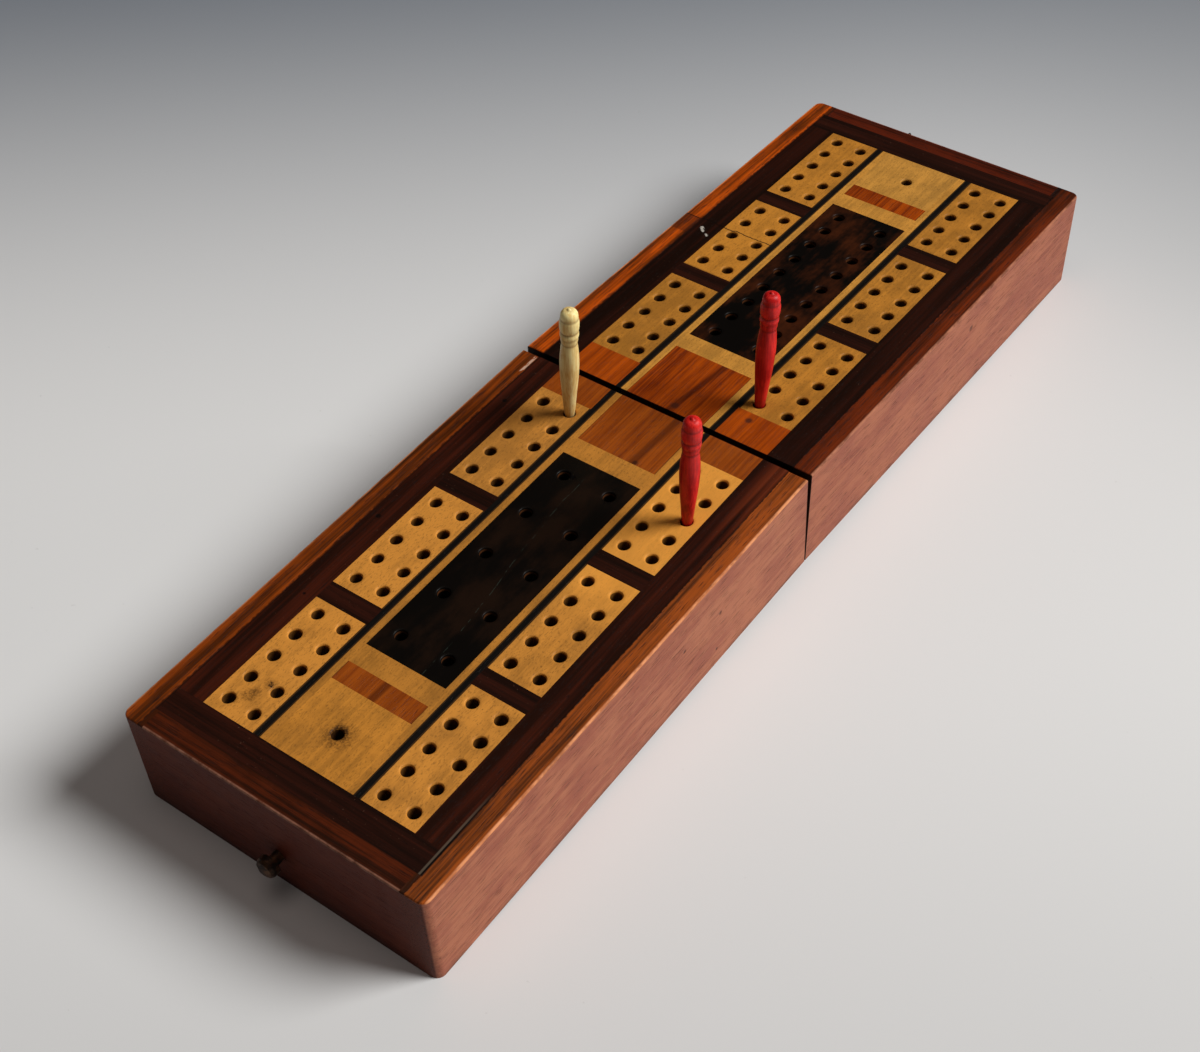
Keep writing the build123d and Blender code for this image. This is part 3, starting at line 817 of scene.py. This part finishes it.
for half in (near, far):
    name, body = half.name, half.body
    shift = 0.0 if half is near else 40.0
    for side, sign in (("left", -1), ("right", 1)):
        rail = f"{name} {side} mahogany"
        wood = mahogany(rail, half, "out", *RIM_TINTS[name, side], sign, shift + sign * 7)
        smoothed(f"{name}_{side}_rail", body, wood)
    wood = mahogany(f"{name} end mahogany", half, "across", *RIM_TINTS[name, "end"], 0, shift + 21)
    smoothed(f"{name}_end_rail", body, wood)

    grain = (0.8, 30, 0.8)
    inner = f"{name} inner mahogany"
    hidden = plain_wood(inner, half, (84, 44, 26), (122, 70, 44), grain, 0.55, shift)
    border = rosewood(f"{name} rosewood", half, "out", ROSEWOOD_TINTS[name], shift + 2)
    crossing = rosewood(f"{name} end rosewood", half, "across", BAR_TINT, shift + 13)
    grain = (0.4, 14, 0.4)
    line = f"{name} black line"
    black = plain_wood(line, half, (10, 7, 5), (18, 12, 8), grain, 0.45, shift + 5)
    strips = maple(f"{name} maple strip", half, STRIP_TINTS[name], shift + 31, pieces=0.0)
    orange = tulipwood(f"{name} tulipwood", half, *TULIP_TINTS[name], shift + 17)
    for node, wood in (
        ("hinge_rail", hidden),
        ("base_board", hidden),
        ("border_sides", border),
        ("border_bars", crossing),
        ("border_end", crossing),
        ("stringing", black),
        ("long_strips", strips),
        ("cross_strips", strips),
        ("tulipwood", orange),
    ):
        dress(f"{name}_{node}", wood)

    rng = random.Random(11 if half is near else 12)
    plates = []
    for sign in (-1, 1):
        for start, end in half.track_panels():
            holes = [
                by_hand(rng, sign * column, y)
                for column in TRACK_COLUMNS
                for y in rows(start, end, TRACK_END_INSET, TRACK_ROWS)
            ]
            plates.append((sorted((sign * TRACK_INNER, sign * TRACK_OUTER)), (start, end), holes))
    start, end = half.dark_panel()
    holes = [
        by_hand(rng, x, y)
        for x in (-DARK_COLUMN, DARK_COLUMN)
        for y in rows(start, end, half.dark_inset, half.dark_rows)
    ]
    middle = (-MIDDLE_X, MIDDLE_X)
    dark_plate = (middle, (start, end), holes)
    end_hole = (0, END_HOLE_OUT, END_HOLE_RADIUS, HOLE_DEPTH)
    end_plate = (middle, (BORDER_Y - half.end_block, BORDER_Y), [end_hole])

    stains = PANEL_STAINS if half is near else ()
    panels = maple(f"{name} maple panels", half, PANEL_TINTS[name], shift, marks=stains)
    dark = ebony(f"{name} ebony", half, shift)
    stains = END_HOLE_STAINS if half is near else ()
    tint = END_BLOCK_TINTS[name]
    end_maple = maple(f"{name} maple end", half, tint, shift + 9, pieces=0.0, marks=stains)
    for piece, cut, wood, slot, node in (
        ("drilled_panels", plates, panels, "maple", "track_panels"),
        ("drilled_ebony", [dark_plate], dark, "ebony", "ebony_panel"),
        ("drilled_end_block", [end_plate], end_maple, "maple", "end_block"),
    ):
        bm = drilled(cut)
        put(f"{name}_{piece}", bm, half.place, [wood], body, f"{name}_{node}", smooth_below=50)
    smoothed(f"{name}_hinge_leaves", body, brass)
    slotted_screws(half, brass)

smoothed("hinge_pins", "near_half", brass)
smoothed("catch_stud", "near_half", brass)
smoothed("hook_screw", "far_half", brass)
smoothed("hook", "hook", brass, arris=0.18)

ivory = bone("pale bone", (255, 238, 168), (232, 194, 118), (132, 88, 36), 0.0)
red = bone("red bone", (228, 40, 32), (176, 10, 13), (92, 3, 8), 8.0)
# Each peg: its half, its foot across and out, and its lean to the right and outward in degrees.
turned_peg("ivory_peg", near, (-16.5, 11.4), 4.5, 0.8, ivory)
turned_peg("near_red_peg", near, (23.6, 24.2), 4.3, 1.5, red)
turned_peg("far_red_peg", far, (16.5, 13.3), 2.5, 0.5, red)


# ---------------------------------------------------------------- the studio


def pale_floor():
    """A wide pale sheet with painted shade, as the light falls off: darker away from the camera and
    towards the back right, and a little darker close to the camera.
    """
    bm = bmesh.new()
    bmesh.ops.create_grid(bm, x_segments=1, y_segments=1, size=2.5)
    mesh = bpy.data.meshes.new("floor")
    bm.to_mesh(mesh)
    bm.free()
    floor = bpy.data.objects.new("floor", mesh)
    bpy.context.scene.collection.objects.link(floor)
    f = Finish("pale floor")
    place = f.object_place()
    x, y = f.axes(place)[:2]
    # Distances away from the camera and to its right, from the middle of the box.
    depth = x * -0.616 + y * 0.787
    right = x * 0.806 + y * 0.591
    # Painted light falloff: darker far from the camera, a little darker close to it, and dimmer towards
    # the back right.
    colour = f.mix(f.fade(depth, 10, 290), shade(229, 229, 228), shade(116, 122, 131))
    colour = f.mix(f.fade(depth, -40, -190) * 0.5, colour, shade(196, 196, 196))
    dim = f.fade(depth, -50, 100) * f.fade(right, 60, 230)
    colour = f.mix(dim * 0.45, colour, shade(110, 114, 120))
    specks = f.fade(f.noise(place, (2.2, 2.2, 2.2), detail=2), 0.74, 0.8)
    colour = f.mix(specks * 0.12, colour, shade(120, 116, 112))
    mesh.materials.append(f.finish(colour, 0.5, sheen=0.2))


def soft_light(name, towards, distance, size, power, colour):
    """A large soft light that faces the middle of the box."""
    light = bpy.data.lights.new(name, "AREA")
    light.shape = "DISK"
    light.size = size
    light.energy = power
    light.color = colour
    lamp = bpy.data.objects.new(name, light)
    bpy.context.scene.collection.objects.link(lamp)
    lamp.location = Vector(towards).normalized() * distance
    lamp.rotation_euler = (-lamp.location).to_track_quat("-Z", "Y").to_euler()


pale_floor()
soft_light("window", (0.617, 0.409, 0.669), 3.0, 1.55, 106, (1.0, 0.995, 0.985))
soft_light("ceiling", (0.0, -0.15, 1.0), 2.0, 1.4, 4.3, (1.0, 0.86, 0.79))

world = bpy.data.worlds.new("studio")
world.use_nodes = True
sky = world.node_tree.nodes["Background"].inputs
sky["Color"].default_value = (0.9, 0.95, 1.0, 1)
sky["Strength"].default_value = 0.02
bpy.context.scene.world = world
bpy.context.scene.view_settings.view_transform = "Standard"

camera_data = bpy.data.cameras.new("camera")
camera_data.sensor_width = 36.0
camera_data.lens = 56.769
camera_data.clip_start = 0.01
camera_data.clip_end = 20.0
camera = bpy.data.objects.new("camera", camera_data)
bpy.context.scene.collection.objects.link(camera)
camera.matrix_world = Matrix((
    (0.806335, -0.402651, 0.433240, 0.179623),
    (0.590645, 0.586618, -0.554092, -0.253761),
    (-0.031040, 0.702674, 0.710834, 0.306923),
    (0, 0, 0, 1),
))
bpy.context.scene.camera = camera
